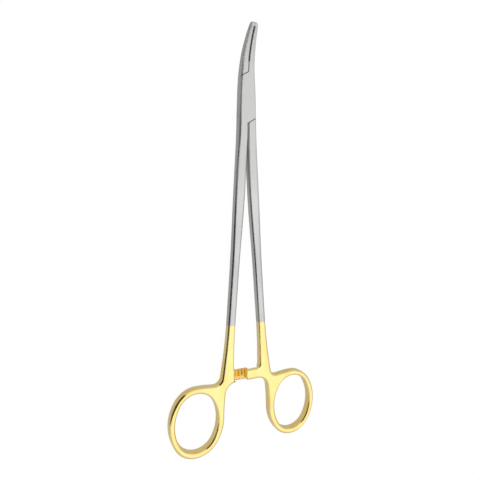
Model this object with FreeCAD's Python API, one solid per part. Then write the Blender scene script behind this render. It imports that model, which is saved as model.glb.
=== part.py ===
import FreeCAD, Part
import math
import os

# A ring-handled surgical needle holder with a box lock, closed and lying flat.
# Millimetres: +Y runs from the pivot to the jaw tips, +X to the right ring, +Z up.
# The origin is on the pivot axis, in the plane that the underside of the box lies in.

# Box lock: two walls of one half with the other half's tongue between them
BOX_WIDTH = 8.5
BOX_THICKNESS = 5.4
BOX_WALL = 1.35
BOX_FLARE = 0.25
UPPER_SHOULDER = 12.5
LOWER_SHOULDER = 11.85
SHOULDER_SLOPE = 0.63
TONGUE_RADIUS = 8.8
PIN_DIAMETER = 3.0
HEAD_EDGE_ROUND = 1.1

# Running clearances
SEAM_GAP = 0.1
SHOULDER_GAP = 0.14
SLOT_END_GAP = 0.12
TONGUE_FACE_GAP = 0.05
PIN_GAP = 0.03
TOOTH_TIP_GAP = 0.12

# Jaws, bent up out of the plane of the rings
JAW_LENGTH = 33.4
JAW_BEND_START = 9.0
JAW_BEND_RADIUS = 36.5
JAW_ROOT_WIDTH = 7.2
JAW_MIDDLE_DISTANCE = 25.0
JAW_MIDDLE_WIDTH = 5.7
JAW_TIP_WIDTH = 3.4
JAW_TIP_HEIGHT = 2.7

# Carbide inserts along the gripping faces
INSERT_ROOT = 17.8
INSERT_TIP_SETBACK = 1.4
INSERT_THICKNESS = 0.45
SERRATION_PITCH = 0.8
SERRATION_WIDTH = 0.5
SERRATION_DEPTH = 0.14

# Handles: each station has its drop below the pivot, its spread from the seam and its width
SHANK_THICKNESS = 4.1
SHANK_TOP_DROP = 37.0
SHANK_TOP_SPREAD = 3.4
SHANK_TOP_WIDTH = 5.2
SHANK_WAIST_DROP = 92.0
SHANK_WAIST_SPREAD = 7.05
SHANK_WAIST_WIDTH = 3.95
SHANK_FOOT_ABOVE_RATCHET = 12.2
SHANK_FOOT_SPREAD = 9.45
SHANK_FOOT_WIDTH = 4.5
SHANK_ROOT_SPREAD = 7.45
SHANK_OUTER_CHAMFER = 0.75
SHANK_INNER_CHAMFER = 0.55

# Finger rings, each joined to its shank by a web with a notch above it
RING_DROP = 159.0
RING_SPREAD = 27.1
RING_HOLE_WIDTH = 22.1
RING_HOLE_LENGTH = 29.8
RING_BAR = 2.85
RING_INNER_BAR = 3.3
RING_TOP_BAR = 2.6
RING_THICKNESS = 4.7
RING_HOLE_CHAMFER = 0.6
RING_BLEND_LENGTH = 20.0
NOTCH_SPREAD = 14.3
NOTCH_DEPTH = 1.1
NOTCH_ROUND = 4.0
WEB_LEAN = 1.1

# Ratchet arms, one over the other across the seam, with saw teeth that face each other
RATCHET_ABOVE_RING = 22.3
RATCHET_WIDTH = 5.3
UPPER_ARM_REACH = 2.2
LOWER_ARM_REACH = 1.0
RATCHET_TOP_ROUND = 2.2
RATCHET_FOOT_ROUND = 6.0
TOOTH_PITCH = 1.97
TOOTH_HEIGHT = 0.8
TOOTH_LAND = 0.2
TOOTH_COUNT = 4

# Worked out from the sizes above
MID = BOX_THICKNESS / 2
HALF_BOX = BOX_WIDTH / 2
HALF_SEAM = SEAM_GAP / 2
HEAD_BOTTOM = -LOWER_SHOULDER
HANDLE_TOP = -LOWER_SHOULDER / 2
ARM_TOP = RATCHET_ABOVE_RING - RING_DROP
ARM_BOTTOM = ARM_TOP - RATCHET_WIDTH
SHANK_FOOT = ARM_TOP + SHANK_FOOT_ABOVE_RATCHET
RING_BLEND_END = SHANK_FOOT - RING_BLEND_LENGTH
BELOW = -BOX_THICKNESS
ABOVE = MID + JAW_LENGTH
PAST_TIP = 2 * JAW_LENGTH
PAST_SHOULDER = 2 * LOWER_SHOULDER
PAST_RINGS = -RING_DROP - RING_HOLE_LENGTH
PAST_SIDE = RING_SPREAD + RING_HOLE_WIDTH
DOWN = FreeCAD.Vector(0, -1, 0)
RIGHT = FreeCAD.Vector(1, 0, 0)


def vec(x, y, z=0.0):
    return FreeCAD.Vector(x, y, z)


def straights(points):
    return [Part.makeLine(a, b) for a, b in zip(points, points[1:])]


def arc(start, corner, end):
    """The arc between two points whose end directions meet at a corner."""
    middle = (start + end) * 0.5
    half = (end - start).Length / 2
    rise = (corner - middle).Length
    if rise < 1e-5 * half:
        return Part.makeLine(start, end)
    crown = middle + (corner - middle) * (half * math.tan(math.atan2(rise, half) / 2) / rise)
    return Part.Arc(start, crown, end).toShape()


def two_arcs(start, leaving, end, arriving):
    """Two arcs that run into each other, from one point and direction to another."""
    span = end - start
    along = span.dot(leaving + arriving)
    turn = 2 - 2 * leaving.dot(arriving)
    length = span.dot(span) / (along + math.sqrt(along ** 2 + turn * span.dot(span)))
    first = start + leaving * length
    second = end - arriving * length
    join = (first + second) * 0.5
    return [arc(start, first, join), arc(join, second, end)]


def smooth(points, leaving, arriving):
    """Arcs through the points; at each inner point they follow the circle through it and its neighbours."""
    headings = [leaving]
    for before, here, after in zip(points, points[1:], points[2:]):
        back = here - before
        on = after - here
        heading = back * (on.Length / back.Length) + on * (back.Length / on.Length)
        headings.append(heading)
    headings.append(arriving)
    units = [heading * (1 / heading.Length) for heading in headings]
    edges = []
    for i in range(len(points) - 1):
        edges += two_arcs(points[i], units[i], points[i + 1], units[i + 1])
    return edges


def face_of(edges):
    return Part.Face(Part.Wire(Part.__sortEdges__(edges)))


def polygon(points):
    return Part.Face(Part.makePolygon(points + points[:1]))


def slab(plan, low=BELOW, high=ABOVE):
    """A plan face, drawn at z = 0, as a slab between two heights."""
    face = plan.copy()
    face.translate(vec(0, 0, low))
    return face.extrude(vec(0, 0, high - low))


def crosswise(side, left, right):
    """A side face, drawn in the YZ plane, as a prism between two x."""
    face = side.copy()
    face.translate(vec(left, 0))
    return face.extrude(vec(right - left, 0))


def mirrored(shape):
    return shape.mirror(vec(0, 0), RIGHT)


def one_solid(shape):
    return shape.removeSplitter().Solids[0]


def rim_edges(shape, outline):
    """The shape's top and bottom edges that lie over an outline drawn in its plan."""
    path = Part.Compound(outline)
    found = []
    for edge in shape.Edges:
        points = edge.discretize(3)
        level = math.hypot(points[0].x - points[2].x, points[0].y - points[2].y) > 1e-4
        if level and all(path.distToShape(Part.Vertex(p.x, p.y, 0))[0] < 1e-3 for p in points):
            found.append(edge)
    return found


def upright_edge(shape, corner):
    """The shape's vertical edge at a corner of its plan."""
    return [e for e in shape.Edges
            if all(math.hypot(v.X - corner.x, v.Y - corner.y) < 1e-6 for v in e.Vertexes)]


def box_flank(y):
    """Half the box's width, which flares a little towards the handles."""
    return HALF_BOX - BOX_FLARE * y / LOWER_SHOULDER


def head_flank(side):
    """The outer edge of the box and one jaw, from the lower shoulder to past the tip."""
    bottom = vec(side * box_flank(HEAD_BOTTOM), HEAD_BOTTOM)
    pivot = vec(side * HALF_BOX, 0)
    root = vec(side * JAW_ROOT_WIDTH / 2, UPPER_SHOULDER)
    middle = vec(side * JAW_MIDDLE_WIDTH / 2, JAW_MIDDLE_DISTANCE)
    tip = vec(side * JAW_TIP_WIDTH / 2, JAW_LENGTH)
    past = tip + vec(-side * JAW_TIP_WIDTH / 4, JAW_TIP_WIDTH)
    jaw = smooth([pivot, root, middle, tip], pivot - bottom, past - tip)
    return bottom, past, straights([bottom, pivot]) + jaw + straights([tip, past])


def off_bend(angle, height):
    """A point of the jaws' side view, at a height off the arc that their middle line follows."""
    middle = vec(0, JAW_BEND_START + JAW_BEND_RADIUS * math.sin(angle),
                 MID + JAW_BEND_RADIUS * (1 - math.cos(angle)))
    return middle + vec(0, -math.sin(angle), math.cos(angle)) * height


def bend_angle(y):
    """The turn of the jaws' middle line where it reaches a distance from the pivot."""
    return math.asin((y - JAW_BEND_START) / JAW_BEND_RADIUS)


def head_side():
    """The side view of the head: a flat box, and jaws that taper along the bend to a round nose."""
    nose = JAW_TIP_HEIGHT / 2
    turn = bend_angle(JAW_LENGTH - nose)
    taper = math.atan2(MID - nose, JAW_BEND_RADIUS * turn)

    def edge(sign):
        heading = turn - sign * taper
        across = vec(0, -math.sin(heading), math.cos(heading)) * (sign * nose)
        points = [off_bend(0, sign * MID), off_bend(turn / 2, sign * (MID + nose) / 2), off_bend(turn, 0) + across]
        return smooth(points, vec(0, 1), vec(0, math.cos(heading), math.sin(heading))), points[-1]

    top, top_end = edge(1)
    under, under_end = edge(-1)
    tip = off_bend(turn, 0) + vec(0, math.cos(turn), math.sin(turn)) * nose
    box = straights([off_bend(0, MID), vec(0, HEAD_BOTTOM, BOX_THICKNESS), vec(0, HEAD_BOTTOM), off_bend(0, -MID)])
    return face_of(top + under + box + [Part.Arc(top_end, tip, under_end).toShape()])


def head_blank():
    """The box and both jaws as one block, before the seam parts them."""
    left_bottom, left_past, left = head_flank(-1)
    right_bottom, right_past, right = head_flank(1)
    plan = face_of(left + right + straights([left_bottom, right_bottom]) + straights([left_past, right_past]))
    block = slab(plan).common(crosswise(head_side(), -BOX_WIDTH, BOX_WIDTH))
    return block.makeFillet(HEAD_EDGE_ROUND, rim_edges(block, left + right))


def handle_side():
    """The side view of a handle: as thick as the box, then a slimmer shank, then the ring."""
    edges = straights([vec(0, HANDLE_TOP, 0), vec(0, HANDLE_TOP, BOX_THICKNESS)])
    edges += straights([vec(0, PAST_RINGS, MID + sign * RING_THICKNESS / 2) for sign in (-1, 1)])
    for sign in (-1, 1):
        box, shank, ring = [MID + sign * thickness / 2
                            for thickness in (BOX_THICKNESS, SHANK_THICKNESS, RING_THICKNESS)]
        edges += straights([vec(0, HANDLE_TOP, box), vec(0, HEAD_BOTTOM, box)])
        edges += smooth([vec(0, HEAD_BOTTOM, box), vec(0, -SHANK_TOP_DROP, shank)], DOWN, DOWN)
        edges += straights([vec(0, -SHANK_TOP_DROP, shank), vec(0, SHANK_FOOT, shank)])
        edges += smooth([vec(0, SHANK_FOOT, shank), vec(0, RING_BLEND_END, ring)], DOWN, DOWN)
        edges += straights([vec(0, RING_BLEND_END, ring), vec(0, PAST_RINGS, ring)])
    return face_of(edges)


def shank_stations(side):
    """Points of the inner (-1) or outer (1) edge of the right shank."""
    return [vec(SHANK_TOP_SPREAD + side * SHANK_TOP_WIDTH / 2, -SHANK_TOP_DROP),
            vec(SHANK_WAIST_SPREAD + side * SHANK_WAIST_WIDTH / 2, -SHANK_WAIST_DROP),
            vec(SHANK_FOOT_SPREAD + side * SHANK_FOOT_WIDTH / 2, SHANK_FOOT)]


def ring_point(x, y):
    """A point beside the right ring's middle."""
    return vec(RING_SPREAD + x, y - RING_DROP)


def clockwise(points):
    """Quarter turns through points that lie above, right of, below and left of the middle, in turn."""
    headings = [RIGHT, DOWN, RIGHT * -1, DOWN * -1]
    edges = []
    for i in range(len(points) - 1):
        edges += two_arcs(points[i], headings[i % 4], points[i + 1], headings[(i + 1) % 4])
    return edges


def handle_blank():
    """The right handle, with its ring and a ratchet arm of full height."""
    half_width, half_length = RING_HOLE_WIDTH / 2, RING_HOLE_LENGTH / 2
    ring_top = ring_point(0, half_length + RING_TOP_BAR)
    ring_inner = ring_point(-half_width - RING_INNER_BAR, 0)
    seam_top = vec(HALF_SEAM, HANDLE_TOP)
    crotch = vec(HALF_SEAM, HEAD_BOTTOM)
    flank_top = vec(box_flank(HANDLE_TOP), HANDLE_TOP)
    flank = vec(box_flank(HEAD_BOTTOM), HEAD_BOTTOM)
    arm = [vec(SHANK_ROOT_SPREAD, ARM_TOP), vec(-UPPER_ARM_REACH, ARM_TOP),
           vec(-UPPER_ARM_REACH, ARM_BOTTOM), vec(ring_inner.x - WEB_LEAN, ARM_BOTTOM)]
    notch = vec(NOTCH_SPREAD, ring_top.y - NOTCH_DEPTH)

    inner = smooth([crotch] + shank_stations(-1) + [arm[0]], DOWN, DOWN)
    outer = smooth([flank] + shank_stations(1) + [notch], flank - flank_top, notch - shank_stations(1)[2])
    web = smooth([arm[3], ring_inner], vec(WEB_LEAN, ring_inner.y - ARM_BOTTOM), DOWN)
    shoulder = smooth([notch, ring_top], ring_top - notch, RIGHT)
    ring = clockwise([ring_top, ring_point(half_width + RING_BAR, 0), ring_point(0, -half_length - RING_BAR),
                      ring_inner])
    hole_top = ring_point(0, half_length)
    hole = clockwise([hole_top, ring_point(half_width, 0), ring_point(0, -half_length),
                      ring_point(-half_width, 0), hole_top])
    sides = straights([flank, flank_top, seam_top, crotch]) + straights(arm)

    block = slab(face_of(inner + outer + web + shoulder + ring + sides))
    for corner, radius in ((arm[0], RATCHET_TOP_ROUND), (arm[3], RATCHET_FOOT_ROUND), (notch, NOTCH_ROUND)):
        block = block.makeFillet(radius, upright_edge(block, corner))
    block = block.common(crosswise(handle_side(), -PAST_SIDE, PAST_SIDE))
    block = block.makeChamfer(SHANK_OUTER_CHAMFER, rim_edges(block, outer + ring))
    block = block.makeChamfer(SHANK_INNER_CHAMFER, rim_edges(block, inner))
    block = block.cut(slab(face_of(hole)))
    return block.makeChamfer(RING_HOLE_CHAMFER, rim_edges(block, hole))


def saw_teeth(facing):
    """What is taken off the right arm to leave its upper (-1) or lower (1) half with teeth on it."""
    level = MID - facing * TOOTH_TIP_GAP / 2
    far = MID + facing * BOX_THICKNESS
    top = ARM_TOP + RATCHET_TOP_ROUND
    left = -UPPER_ARM_REACH - TOOTH_PITCH
    plan = polygon([vec(left, ARM_BOTTOM), vec(SHANK_ROOT_SPREAD, ARM_BOTTOM), vec(SHANK_ROOT_SPREAD, top),
                    vec(left, top)])
    cut = [slab(plan, min(level, far), max(level, far))]
    for number in range(TOOTH_COUNT):
        steep = SHANK_ROOT_SPREAD - TOOTH_LAND - (number + 1) * TOOTH_PITCH
        groove = polygon([vec(steep, top, level), vec(steep, top, level - facing * TOOTH_HEIGHT),
                          vec(steep + TOOTH_PITCH - TOOTH_LAND, top, level)])
        cut.append(groove.extrude(vec(0, ARM_BOTTOM - top)))
    return cut[0].fuse(cut[1:])


def insert_window():
    """The stretch of the jaws' side view that the inserts take, and its turns along the bend."""
    nose = JAW_TIP_HEIGHT / 2
    first = bend_angle(INSERT_ROOT)
    last = bend_angle(JAW_LENGTH - nose) + (nose - INSERT_TIP_SETBACK) / JAW_BEND_RADIUS
    corners = [(first, -1), (first, 1), (last, 1), (last, -1)]
    return polygon([off_bend(turn, side * BOX_THICKNESS) for turn, side in corners]), first, last


def jaw_insert(head):
    """The right jaw's insert before its grooves: a thin slice of the jaw beside the seam."""
    return head.common(crosswise(insert_window()[0], HALF_SEAM, HALF_SEAM + INSERT_THICKNESS))


def serrations():
    """The grooves across the right insert's gripping face."""
    window, first, last = insert_window()
    count = int((last - first) * JAW_BEND_RADIUS / SERRATION_PITCH)
    grooves = []
    for number in range(count):
        turn = first + (number + 0.5) * (last - first) / count
        groove = polygon([vec(HALF_SEAM, -SERRATION_WIDTH / 2), vec(HALF_SEAM, SERRATION_WIDTH / 2),
                          vec(HALF_SEAM + SERRATION_DEPTH, 0)]).extrude(vec(0, 0, 2 * BOX_THICKNESS))
        groove.translate(vec(0, 0, -BOX_THICKNESS))
        groove.rotate(vec(0, 0), RIGHT, math.degrees(turn))
        groove.translate(off_bend(turn, 0))
        grooves.append(groove)
    return grooves


def beyond_shoulder(side, edge, gap):
    """The plan past the shoulder: above and left of the seam (-1), or below and right of it (1)."""
    out = side * 2 * BOX_WIDTH
    start = gap * math.hypot(1, SHOULDER_SLOPE) + (UPPER_SHOULDER if side < 0 else LOWER_SHOULDER)
    far = PAST_TIP if side < 0 else -PAST_RINGS
    rise = SHOULDER_SLOPE * abs(out)
    points = [vec(edge, start), vec(0, start), vec(out, start - rise), vec(side * PAST_SIDE, start - rise),
              vec(side * PAST_SIDE, far), vec(edge, far)]
    return slab(polygon([vec(p.x, -side * p.y) for p in points]))


def lock_layer(radius, face_gap, edge):
    """The middle layer of the lock: the pivot disc, and the ways through for a jaw and a shank."""
    low = BOX_WALL + face_gap
    height = BOX_THICKNESS - 2 * low
    disc = Part.makeCylinder(radius, height, vec(0, 0, low))
    jaw_way = Part.makeBox(PAST_SIDE, PAST_TIP, height, vec(edge - PAST_SIDE, 0, low))
    shank_way = Part.makeBox(PAST_SIDE, PAST_SHOULDER, height, vec(-edge, -PAST_SHOULDER, low))
    return disc, jaw_way, shank_way


def box_half(head, handle):
    """The right jaw, the box with its slot, the left shank and ring, and the lower ratchet arm."""
    left_arm_end = Part.makeBox(PAST_SIDE, RATCHET_WIDTH, BOX_THICKNESS, vec(LOWER_ARM_REACH, ARM_BOTTOM))
    body = head.cut([beyond_shoulder(-1, HALF_SEAM, 0), beyond_shoulder(1, 0, 0), jaw_insert(head)])
    body = body.fuse(mirrored(handle))
    body = body.cut(list(lock_layer(TONGUE_RADIUS + SLOT_END_GAP, 0, HALF_SEAM)))
    return one_solid(body.cut([lock_pin(0), mirrored(saw_teeth(1)), left_arm_end]))


def tongue_half(head, handle):
    """The left jaw, the tongue, the right shank and ring, and the upper ratchet arm."""
    disc, jaw_way, shank_way = lock_layer(TONGUE_RADIUS, TONGUE_FACE_GAP, -HALF_SEAM)
    jaw = head.common(beyond_shoulder(-1, -HALF_SEAM, SHOULDER_GAP)).cut(mirrored(jaw_insert(head)))
    bridge = jaw_way.common(Part.makeBox(PAST_SIDE, UPPER_SHOULDER + SHOULDER_GAP, BOX_THICKNESS, vec(-PAST_SIDE, 0)))
    shank = handle.common([shank_way, beyond_shoulder(1, 0, SHOULDER_GAP)])
    body = jaw.fuse([head.common([disc, bridge]), shank])
    return one_solid(body.cut([lock_pin(PIN_GAP), saw_teeth(-1)]))


def lock_pin(gap):
    """The rivet through the lock, or its hole when a gap is added round it."""
    return Part.makeCylinder(PIN_DIAMETER / 2 + gap, BOX_THICKNESS)


head = head_blank()
handle = handle_blank()
right_insert = jaw_insert(head).cut(serrations())
parts = {"box_half": box_half(head, handle), "tongue_half": tongue_half(head, handle), "lock_pin": lock_pin(0),
         "box_jaw_insert": right_insert, "tongue_jaw_insert": mirrored(right_insert)}

os.makedirs("parts", exist_ok=True)
for name, shape in parts.items():
    print(name, "valid" if shape.isValid() else "INVALID", len(shape.Solids), "solid", round(shape.Volume, 1), "mm3")
    shape.exportStep("parts/" + name + ".step")
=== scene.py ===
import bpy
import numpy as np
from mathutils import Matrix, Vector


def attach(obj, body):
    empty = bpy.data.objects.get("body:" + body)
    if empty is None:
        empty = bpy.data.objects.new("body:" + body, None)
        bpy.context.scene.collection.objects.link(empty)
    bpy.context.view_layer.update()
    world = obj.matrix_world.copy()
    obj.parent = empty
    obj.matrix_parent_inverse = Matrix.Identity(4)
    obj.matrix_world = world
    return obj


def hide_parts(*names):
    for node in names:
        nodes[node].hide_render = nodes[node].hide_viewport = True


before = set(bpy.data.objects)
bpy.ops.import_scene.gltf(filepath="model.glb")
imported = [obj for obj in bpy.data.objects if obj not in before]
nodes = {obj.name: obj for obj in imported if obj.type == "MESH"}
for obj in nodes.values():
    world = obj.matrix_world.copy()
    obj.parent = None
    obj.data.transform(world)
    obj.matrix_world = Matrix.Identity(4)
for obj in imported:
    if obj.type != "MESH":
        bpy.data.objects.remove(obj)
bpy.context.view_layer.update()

# %% [markdown]
# # A box-lock needle holder, closed, on a white table
#
# The CAD model gives every form: two forgings that cross in the box lock, the rivet through it and
# the two brazed inserts. What Blender adds is the finish, and the fine cut of the inserts' faces.
# So the lesson is mostly about metal: how a satin steel and a polished gold plating get their looks
# from roughness, fine grain and, above all, from what there is around them to reflect.

MM = 0.001

# %% [markdown]
# ## Shader maths in plain Python
#
# A finish is a sum of small patterns. Written node by node that takes pages, so a thin wrapper
# round a socket lets an expression such as `1 - mask * 0.3` add its own Math nodes. Any other node
# comes from one method that sets the node's type and settings first and its sockets after.

# %% A socket that takes part in expressions
class Value:
    """An output of a node tree. Each operator adds the Math node of its name."""

    def __init__(self, tree, socket):
        self.tree = tree
        self.socket = socket

    def math(self, operation, first, second=0.0):
        return self.tree.add("ShaderNodeMath", {"operation": operation}, {0: first, 1: second})

    def __add__(self, other):
        return self.math("ADD", self, other)

    def __sub__(self, other):
        return self.math("SUBTRACT", self, other)

    def __rsub__(self, other):
        return self.math("SUBTRACT", other, self)

    def __mul__(self, other):
        return self.math("MULTIPLY", self, other)

    def __abs__(self):
        return self.math("ABSOLUTE", self)

    def largest(self, other):
        return self.math("MAXIMUM", self, other)

    def step(self, low, high):
        """A smooth step from 0 at low to 1 at high."""
        return self.tree.add("ShaderNodeMapRange", {"interpolation_type": "SMOOTHSTEP"},
                             {"Value": self, "From Min": low, "From Max": high})

    __radd__ = __add__
    __rmul__ = __mul__


class Tree:
    """The node tree of a material or a world, with one method that adds any node."""

    def __init__(self, owner):
        owner.use_nodes = True
        self.nodes = owner.node_tree.nodes
        self.links = owner.node_tree.links
        self.nodes.clear()

    def add(self, kind, settings=None, sockets=None, output=0):
        """A node with its settings and then its sockets; gives back one of its outputs."""
        node = self.nodes.new(kind)
        for name, value in (settings or {}).items():
            setattr(node, name, value)
        for name, value in (sockets or {}).items():
            if isinstance(value, Value):
                self.links.new(value.socket, node.inputs[name])
            else:
                node.inputs[name].default_value = value
        return Value(self, node.outputs[output])

    def numbers(self, vector):
        """The three numbers of a vector."""
        first = self.add("ShaderNodeSeparateXYZ", {}, {0: vector})
        return [Value(self, first.socket.node.outputs[i]) for i in range(3)]

    def noise(self, place, stretch, scale, detail=2.0):
        """Cloudy values from 0 to 1, drawn out along an axis where the stretch is small."""
        drawn = self.add("ShaderNodeMapping", {}, {"Vector": place, "Scale": stretch})
        return self.add("ShaderNodeTexNoise", {},
                        {"Vector": drawn, "Scale": scale, "Detail": detail}, "Fac")

    def mixed(self, share, first, second):
        """A colour between two, by a share."""
        return self.add("ShaderNodeMix", {"data_type": "RGBA"}, {0: share, 6: first, 7: second}, 2)

    def finish(self, shader, kind="ShaderNodeOutputMaterial"):
        """Ends the tree in a shader."""
        output = self.nodes.new(kind)
        self.links.new(shader.socket, output.inputs["Surface"])


def colour(red, green, blue):
    return (red, green, blue, 1.0)


print("shader tools ready")

# %% [markdown]
# ## The camera
#
# The photograph was taken from above the box lock and to its left, close enough for the rings to
# look a little smaller than they are. The camera's three axes, its place in millimetres from the
# pivot and its lens come from fitting points of the instrument to their places in the picture.

# %% Camera
CAMERA_RIGHT = Vector((0.911178, 0.000553, 0.412012))
CAMERA_UP = Vector((0.026755, 0.997809, -0.060508))
CAMERA_BACK = Vector((-0.411142, 0.066157, 0.909167))
CAMERA_PLACE = Vector((-82.31, -56.93, 177.31))
LENS = 28.6
SENSOR = 36.0

camera_data = bpy.data.cameras.new("photo_camera")
camera_data.lens = LENS
camera_data.sensor_width = SENSOR
camera_data.clip_start = 10 * MM
camera = bpy.data.objects.new("photo_camera", camera_data)
camera.matrix_world = Matrix.Translation(CAMERA_PLACE * MM) @ Matrix(
    (CAMERA_RIGHT, CAMERA_UP, CAMERA_BACK)).transposed().to_4x4()
bpy.context.scene.collection.objects.link(camera)
bpy.context.scene.camera = camera
print("camera is", round(CAMERA_PLACE.length), "mm from the pivot")

# %% [markdown]
# ## Satin steel that turns to gold plating
#
# Each half is one forging, so one material covers it from the jaw to the ring. The shanks are satin
# finished, a soft grey metal with a hair-fine grain along their length. Towards the lock the finish
# grows duller and paler, and the jaws are the palest. The handles are masked off, polished and gold
# plated. The plating ends in a clean line across the shanks, so masks on the distance along the
# instrument mix one finish into the next.

# %% Colours, and where one finish gives way to the next
STEEL = colour(0.57, 0.567, 0.56)
STEEL_SHADE = colour(0.52, 0.517, 0.51)
HEAD_STEEL = colour(0.68, 0.678, 0.672)
JAW_STEEL = colour(0.78, 0.778, 0.77)
GOLD = colour(1.0, 0.79, 0.34)
GOLD_SHADE = colour(0.96, 0.72, 0.25)
BLACK = colour(0, 0, 0)
PLATING_EDGE = -112.6 * MM
PLATING_BLUR = 0.35 * MM
PLATING_WAVER = 0.3 * MM
HEAD_FINISH_END = -32.0 * MM
HEAD_FINISH_FADE = 40.0 * MM
HEAD_SHARE = 0.8
JAW_ROOT = 12.0 * MM
JAW_FADE = 8.0 * MM
print("plating ends", round(PLATING_EDGE / MM, 1), "mm from the pivot")

# %% [markdown]
# ## Painted shade along the lock's seams
#
# The halves meet in gaps of about a tenth of a millimetre, where light gets lost. Such a gap is
# much narrower than a pixel, so a mask paints that shade onto the metal on both sides of it. Seen
# from above, the seams are straight lines: one slanting shoulder on each side and a short line
# between the jaws.

# %% Seams, and the shade painted along them
SEAM_SLOPE = 0.63
UPPER_SEAM = 12.58 * MM
LOWER_SEAM = -11.93 * MM
JAW_SEAM_END = 17.8 * MM
SEAM_CORE = 0.15 * MM
SEAM_REACH = 0.35 * MM
SEAM_END = 0.1 * MM
SEAM_SHADE = 0.8


def near(distance):
    """1 at a line, falling to 0 at a third of a millimetre off it."""
    return 1 - abs(distance).step(SEAM_CORE, SEAM_REACH)


def painted_seam_shade(across, along, facing):
    """Painted shade: 1 along the lock's seams, both slanting shoulders and the line between the
    jaws.

    Only surfaces that face up or down get the painted shade, so the walls inside the seams stay
    clean metal.
    """
    slant = along - across * SEAM_SLOPE
    upper = near(slant - UPPER_SEAM) * (1 - across.step(0, SEAM_END))
    lower = near(slant - LOWER_SEAM) * across.step(-SEAM_END, 0)
    between = near(across) * along.step(UPPER_SEAM - SEAM_END, UPPER_SEAM)
    between = between * (1 - along.step(JAW_SEAM_END, JAW_SEAM_END + SEAM_END))
    return upper.largest(lower).largest(between) * abs(facing).step(0.15, 0.5)


print("seams cross the middle at", UPPER_SEAM / MM, "and", LOWER_SEAM / MM, "mm")

# %% [markdown]
# ## Rims that catch the light
#
# The lock and the ratchet have crisp edges, but the handles' rims are polished round, and each one
# draws a line of light. The CAD has a small flat there. A Bevel node looks at the surface round a
# point and gives back the normal that a rounded rim would have. Its radius is wide on the handles
# and next to nothing on the head and round the ratchet's teeth.

# %% Rounded rims
RIM_ROUND = 1.3 * MM
CRISP_ROUND = 0.03 * MM
RIM_SAMPLES = 8
HANDLE_START = -16.0 * MM
HANDLE_FADE = 12.0 * MM
RATCHET_PLACE = -136.7 * MM
RATCHET_REACH = 6.0 * MM
RATCHET_HALF = 3.4 * MM
RATCHET_FADE = 0.5 * MM


def rounded_rims(tree, across, along):
    """A normal that rounds the rims from the lock down to the rings, but not the ratchet's."""
    handle = 1 - along.step(HANDLE_START - HANDLE_FADE, HANDLE_START)
    beside = abs(across).step(RATCHET_REACH, RATCHET_REACH + RATCHET_FADE)
    beyond = abs(along - RATCHET_PLACE).step(RATCHET_HALF, RATCHET_HALF + RATCHET_FADE)
    ratchet = (1 - beside) * (1 - beyond)
    return tree.add("ShaderNodeBevel", {"samples": RIM_SAMPLES},
                    {"Radius": RIM_ROUND * handle * (1 - ratchet) + CRISP_ROUND})


print("handle rims look", round(RIM_ROUND / MM, 2), "mm round")

# %% [markdown]
# ## Grain and clouds
#
# The grain is noise drawn out along the length. It moves the roughness a little and raises the
# surface by a few microns. Broad, faint clouds keep the large faces from looking like a flat fill,
# and they let the plating's edge waver by a hair. Gold is polished, so most of the grain is gone.

# %% Forged steel with plated handles
CLOUD_STRETCH, CLOUD_SCALE = (1, 0.35, 1), 160.0
GRAIN_STRETCH, GRAIN_SCALE = (1, 0.06, 1), 5200.0
NOISE_DETAIL = 3.0
SATIN_ROUGHNESS = 0.12
HEAD_ROUGHNESS = 0.42
JAW_ROUGHNESS = 0.16
POLISH_ROUGHNESS = 0.08
GRAIN_IN_ROUGHNESS = 0.1
CLOUDS_IN_ROUGHNESS = 0.05
GRAIN_LOST = 0.85
GRAIN_HEIGHT = 0.006 * MM
GRAIN_STRENGTH = 0.35


def forged_metal(name, plated):
    """Satin steel. A plated forging also has gold below the plating's edge and painted seam shade.
    """
    material = bpy.data.materials.new(name)
    tree = Tree(material)
    place = tree.add("ShaderNodeTexCoord", output="Object")
    across, along, _ = tree.numbers(place)
    clouds = tree.noise(place, CLOUD_STRETCH, CLOUD_SCALE, NOISE_DETAIL)
    grain = tree.noise(place, GRAIN_STRETCH, GRAIN_SCALE, NOISE_DETAIL)
    head = along.step(HEAD_FINISH_END - HEAD_FINISH_FADE, HEAD_FINISH_END)
    jaw = along.step(JAW_ROOT, JAW_ROOT + JAW_FADE)
    base = tree.mixed(clouds.step(0.35, 0.7), STEEL_SHADE, STEEL)
    base = tree.mixed(head * HEAD_SHARE, base, tree.mixed(jaw, HEAD_STEEL, JAW_STEEL))
    clouding = (clouds - 0.5) * CLOUDS_IN_ROUGHNESS
    roughness = (SATIN_ROUGHNESS + head * HEAD_ROUGHNESS + jaw * JAW_ROUGHNESS
                 + (grain - 0.5) * GRAIN_IN_ROUGHNESS + clouding)
    height = grain
    if plated:
        wavering = along + (clouds - 0.5) * PLATING_WAVER
        gold = 1 - wavering.step(PLATING_EDGE - PLATING_BLUR, PLATING_EDGE + PLATING_BLUR)
        base = tree.mixed(gold, base, tree.mixed(clouds.step(0.3, 0.6), GOLD_SHADE, GOLD))
        facing = tree.numbers(tree.add("ShaderNodeTexCoord", output="Normal"))[2]
        # Painted shade: the metal is darkened towards black along the lock's seams.
        base = tree.mixed(painted_seam_shade(across, along, facing) * SEAM_SHADE, base, BLACK)
        roughness = roughness + (POLISH_ROUGHNESS + clouding - roughness) * gold
        height = (grain - 0.5) * (1 - gold * GRAIN_LOST)
    bump = tree.add("ShaderNodeBump", {},
                    {"Height": height, "Distance": GRAIN_HEIGHT, "Strength": GRAIN_STRENGTH,
                     "Normal": rounded_rims(tree, across, along)})
    shader = tree.add("ShaderNodeBsdfPrincipled", {},
                      {"Base Color": base, "Metallic": 1.0, "Roughness": roughness, "Normal": bump})
    tree.finish(shader)
    print(name, "has", len(tree.nodes), "nodes")
    return material


forging = forged_metal("satin_steel_and_gold", True)
rivet = forged_metal("ground_rivet", False)

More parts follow.
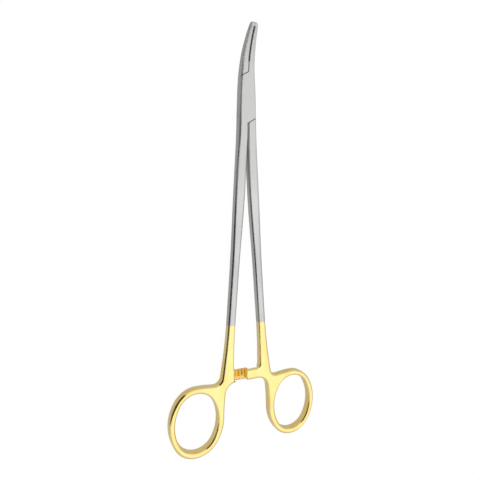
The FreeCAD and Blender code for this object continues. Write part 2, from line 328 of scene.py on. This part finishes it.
# %% [markdown]
# ## Carbide inserts
#
# The gripping faces are tungsten carbide, sintered and ground, far darker and duller than the steel
# that they are brazed to. A grinding wheel cuts two crossed sets of V grooves into each. They leave
# rows of tiny pyramids that keep a needle from turning. The CAD nodes are thin curved slices with
# plain grooves, so each is stood in for by one swept surface: a fine grid over the gripping face,
# closed by a smooth back and carried along the bend of the jaw. The grid's upper and lower edges
# are measured on the CAD node, so the new piece keeps its outline.

# %% Carbide
CARBIDE_DARK = colour(0.09, 0.09, 0.088)
CARBIDE_PALE = colour(0.17, 0.17, 0.165)
SPECKLE_SCALE = 9000.0
SPECKLE_HEIGHT = 0.01 * MM


def carbide_finish():
    """Dark sintered carbide with a fine speckle."""
    material = bpy.data.materials.new("sintered_carbide")
    tree = Tree(material)
    place = tree.add("ShaderNodeTexCoord", output="Object")
    speckle = tree.noise(place, (1, 1, 1), SPECKLE_SCALE)
    dark = tree.mixed(speckle.step(0.35, 0.65), CARBIDE_DARK, CARBIDE_PALE)
    roughness = 0.42 + (speckle - 0.5) * 0.2
    bump = tree.add("ShaderNodeBump", {},
                    {"Height": speckle, "Distance": SPECKLE_HEIGHT, "Strength": 0.5})
    shader = tree.add("ShaderNodeBsdfPrincipled", {},
                      {"Base Color": dark, "Metallic": 0.9, "Roughness": roughness, "Normal": bump})
    tree.finish(shader)
    print(material.name, "has", len(tree.nodes), "nodes")
    return material


carbide = carbide_finish()

# %% Cross-cut gripping faces
BEND_START = 9.0 * MM
BEND_RADIUS = 36.5 * MM
BEND_CENTRE = BEND_RADIUS + 2.7 * MM
GRIP_FACE = 0.05 * MM
GRIP_BACK = 0.5 * MM
GROOVE_PITCH = 0.56 * MM
GROOVE_DEPTH = 0.14 * MM
GRIP_STATIONS = 208
GRIP_ROWS = 60


def zigzag(value):
    """A wave of straight ramps: 0 at every whole number and 1 half way between two."""
    return 1 - np.abs(2 * np.mod(value, 1.0) - 1)


def slice_edges(node):
    """Turns along the jaw's bend, and the heights of the slice's lower and upper edges at each.

    The bend is an arc in the side view, so a vertex's turn is its angle seen from the arc's centre,
    and its height is how much closer it lies to the centre than the arc does.
    """
    corners = np.empty(len(node.data.vertices) * 3)
    node.data.vertices.foreach_get("co", corners)
    _, along, up = corners.reshape(-1, 3).T
    turn = np.arctan2(along - BEND_START, BEND_CENTRE - up)
    height = BEND_RADIUS - np.hypot(along - BEND_START, BEND_CENTRE - up)
    turns = np.linspace(turn.min(), turn.max(), GRIP_STATIONS)
    edges = []
    for side in (height < 0, height > 0):
        order = np.argsort(turn[side])
        edges.append(np.interp(turns, turn[side][order], height[side][order]))
    return turns, edges[0], edges[1]


def gripping_insert(name, node, body, side):
    """A slice swept along the bend, with pyramids cut into its gripping face.

    Each station along the bend is one closed loop: up the gripping face, over to the back and down
    it. The cut's depth at a point comes from its distance along the arc plus its height, and from
    their difference. Each of the two, counted in groove pitches, goes through the zigzag wave, and
    the smaller one, nearer to a groove, decides.
    """
    turns, low, high = slice_edges(nodes[node])
    share = np.linspace(0, 1, GRIP_ROWS)
    rise = low[:, None] + (high - low)[:, None] * share
    arc = turns[:, None] * BEND_RADIUS
    ridge = np.minimum(zigzag((arc + rise) / GROOVE_PITCH), zigzag((arc - rise) / GROOVE_PITCH))
    back = np.full((GRIP_STATIONS, 2), GRIP_BACK)
    x = side * np.hstack([GRIP_FACE + GROOVE_DEPTH * (1 - ridge), back])
    height = np.hstack([rise, high[:, None], low[:, None]])
    y = BEND_START + (BEND_RADIUS - height) * np.sin(turns[:, None])
    z = BEND_CENTRE - (BEND_RADIUS - height) * np.cos(turns[:, None])
    corners = np.stack([x, y, z], axis=2).reshape(-1, 3)
    count = GRIP_ROWS + 2
    ring = np.arange(count)
    first = np.arange(GRIP_STATIONS - 1)[:, None] * count
    a, b = first + ring, first + np.roll(ring, -1)
    sides = np.stack([a, b, b + count, a + count], axis=2).reshape(-1, 4)
    end_cap = ring + (GRIP_STATIONS - 1) * count
    faces = [face[::side] for face in sides.tolist() + [ring[::-1].tolist(), end_cap.tolist()]]
    mesh = bpy.data.meshes.new(name)
    mesh.from_pydata(corners.tolist(), [], faces)
    mesh.materials.append(carbide)
    piece = bpy.data.objects.new(name, mesh)
    bpy.context.scene.collection.objects.link(piece)
    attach(piece, body)
    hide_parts(node)
    heights = np.round([low[0] / MM, high[0] / MM, high[-1] / MM], 2)
    print(name, len(faces), "faces, edge heights in mm", heights)


gripping_insert("box_gripping_face", "box_jaw_insert", "box_side", 1)
gripping_insert("tongue_gripping_face", "tongue_jaw_insert", "tongue_side", -1)

# %% [markdown]
# ## Dressing the CAD nodes
#
# The CAD meshes arrive with the exact normals of their CAD faces, so curved walls shade smoothly
# along their length while every rim between two faces stays crisp. The finish rounds the handles'
# rims itself, so the nodes need no modifiers, only the right material in each slot.

# %% Materials on the CAD nodes
LOOKS = {"box_half": forging, "tongue_half": forging, "lock_pin": rivet,
         "box_jaw_insert": carbide, "tongue_jaw_insert": carbide}
for name, look in LOOKS.items():
    for material_slot in nodes[name].material_slots:
        material_slot.material = look
print("dressed", sorted(LOOKS))

# %% [markdown]
# ## Floor, world and lamp
#
# Metal shows what stands around it. The picture was taken in a white tent: white paper below, a
# large soft light above, and on the left a gap between the two that shows as one long dark line in
# the shanks' rounded edges. So the scene has the same: a white floor, a white world, a wide lamp
# overhead and a long dark card on the left that only reflections see. The floor is plain white to
# the camera and glows less in reflections, which is what keeps the instrument's sides grey.

# %% Floor
FLOOR_HALF = 1500
FLOOR_DROP = 0.02
PAPER_WHITE = 1.06
PAPER_GLOW = 0.58
PAPER_MATTE = 0.92
GLOW_SHARE = 0.9


def studio_sheet(name, corners, material):
    """A flat sheet for the stage through four corners, in millimetres."""
    mesh = bpy.data.meshes.new(name)
    mesh.from_pydata([tuple(c * MM for c in corner) for corner in corners], [], [(0, 1, 2, 3)])
    mesh.materials.append(material)
    sheet = bpy.data.objects.new(name, mesh)
    bpy.context.scene.collection.objects.link(sheet)
    return sheet


def rays(tree, kind):
    """1 for light rays of one kind, such as the camera's own, and 0 for all others."""
    return tree.add("ShaderNodeLightPath", output="Is " + kind + " Ray")


paper = bpy.data.materials.new("white_paper")
tree = Tree(paper)
glowing = rays(tree, "Camera").largest(rays(tree, "Glossy")).largest(rays(tree, "Transmission"))
matte = tree.add("ShaderNodeBsdfDiffuse", {},
                 {"Color": colour(PAPER_MATTE, PAPER_MATTE, PAPER_MATTE)})
glow = PAPER_GLOW + rays(tree, "Camera") * (PAPER_WHITE - PAPER_GLOW)
white = tree.add("ShaderNodeEmission", {}, {"Color": colour(1, 1, 1), "Strength": glow})
tree.finish(tree.add("ShaderNodeMixShader", {}, {0: glowing * GLOW_SHARE, 1: matte, 2: white}))
studio_sheet("white_paper", [(-FLOOR_HALF, -FLOOR_HALF, -FLOOR_DROP),
                             (FLOOR_HALF, -FLOOR_HALF, -FLOOR_DROP),
                             (FLOOR_HALF, FLOOR_HALF, -FLOOR_DROP),
                             (-FLOOR_HALF, FLOOR_HALF, -FLOOR_DROP)], paper)
print("floor is", 2 * FLOOR_HALF, "mm wide")

# %% World
WORLD_FILL = 0.4
WORLD_IN_REFLECTIONS = 0.55
world = bpy.data.worlds.new("white_tent")
bpy.context.scene.world = world
tree = Tree(world)
seen = rays(tree, "Camera").largest(rays(tree, "Transmission"))
seen = seen.largest(rays(tree, "Glossy") * WORLD_IN_REFLECTIONS)
strength = WORLD_FILL + seen * (1 - WORLD_FILL)
tree.finish(tree.add("ShaderNodeBackground", {}, {"Color": colour(1, 1, 1), "Strength": strength}),
            "ShaderNodeOutputWorld")
print("world gives", WORLD_FILL, "of white as fill light")

# %% Lamp
LAMP_PLACE = Vector((260, -110, 620)) * MM
LAMP_WIDTH, LAMP_LENGTH = 900 * MM, 1300 * MM
LAMP_WATTS = 1.75
overhead_data = bpy.data.lights.new("overhead", "AREA")
overhead_data.shape = "RECTANGLE"
overhead_data.size, overhead_data.size_y = LAMP_WIDTH, LAMP_LENGTH
overhead_data.energy = LAMP_WATTS
overhead = bpy.data.objects.new("overhead", overhead_data)
overhead.location = LAMP_PLACE
overhead.rotation_euler = Vector((0, 0, -1)).to_track_quat("-Z", "Y").to_euler()
bpy.context.scene.collection.objects.link(overhead)
print("lamp is", round(LAMP_PLACE.z / MM), "mm up")

# %% The dark gap on the left
CARD_LEFT = -520
CARD_NEAR, CARD_FAR = -360, 740
CARD_HEIGHT = 1400
black = bpy.data.materials.new("dark_gap")
tree = Tree(black)
tree.finish(tree.add("ShaderNodeBsdfDiffuse", {}, {"Color": colour(0.01, 0.01, 0.01)}))
card = studio_sheet("dark_gap", [(CARD_LEFT, CARD_NEAR, 0), (CARD_LEFT, CARD_FAR, 0),
                                 (CARD_LEFT, CARD_FAR, CARD_HEIGHT),
                                 (CARD_LEFT, CARD_NEAR, CARD_HEIGHT)], black)
card.visible_camera = False
card.visible_diffuse = False
card.visible_shadow = False
card.visible_transmission = False
print("card is", CARD_FAR - CARD_NEAR, "mm long and", CARD_HEIGHT, "mm high")

# %% Last lines
bpy.context.scene.view_settings.view_transform = "Standard"
bpy.context.view_layer.update()
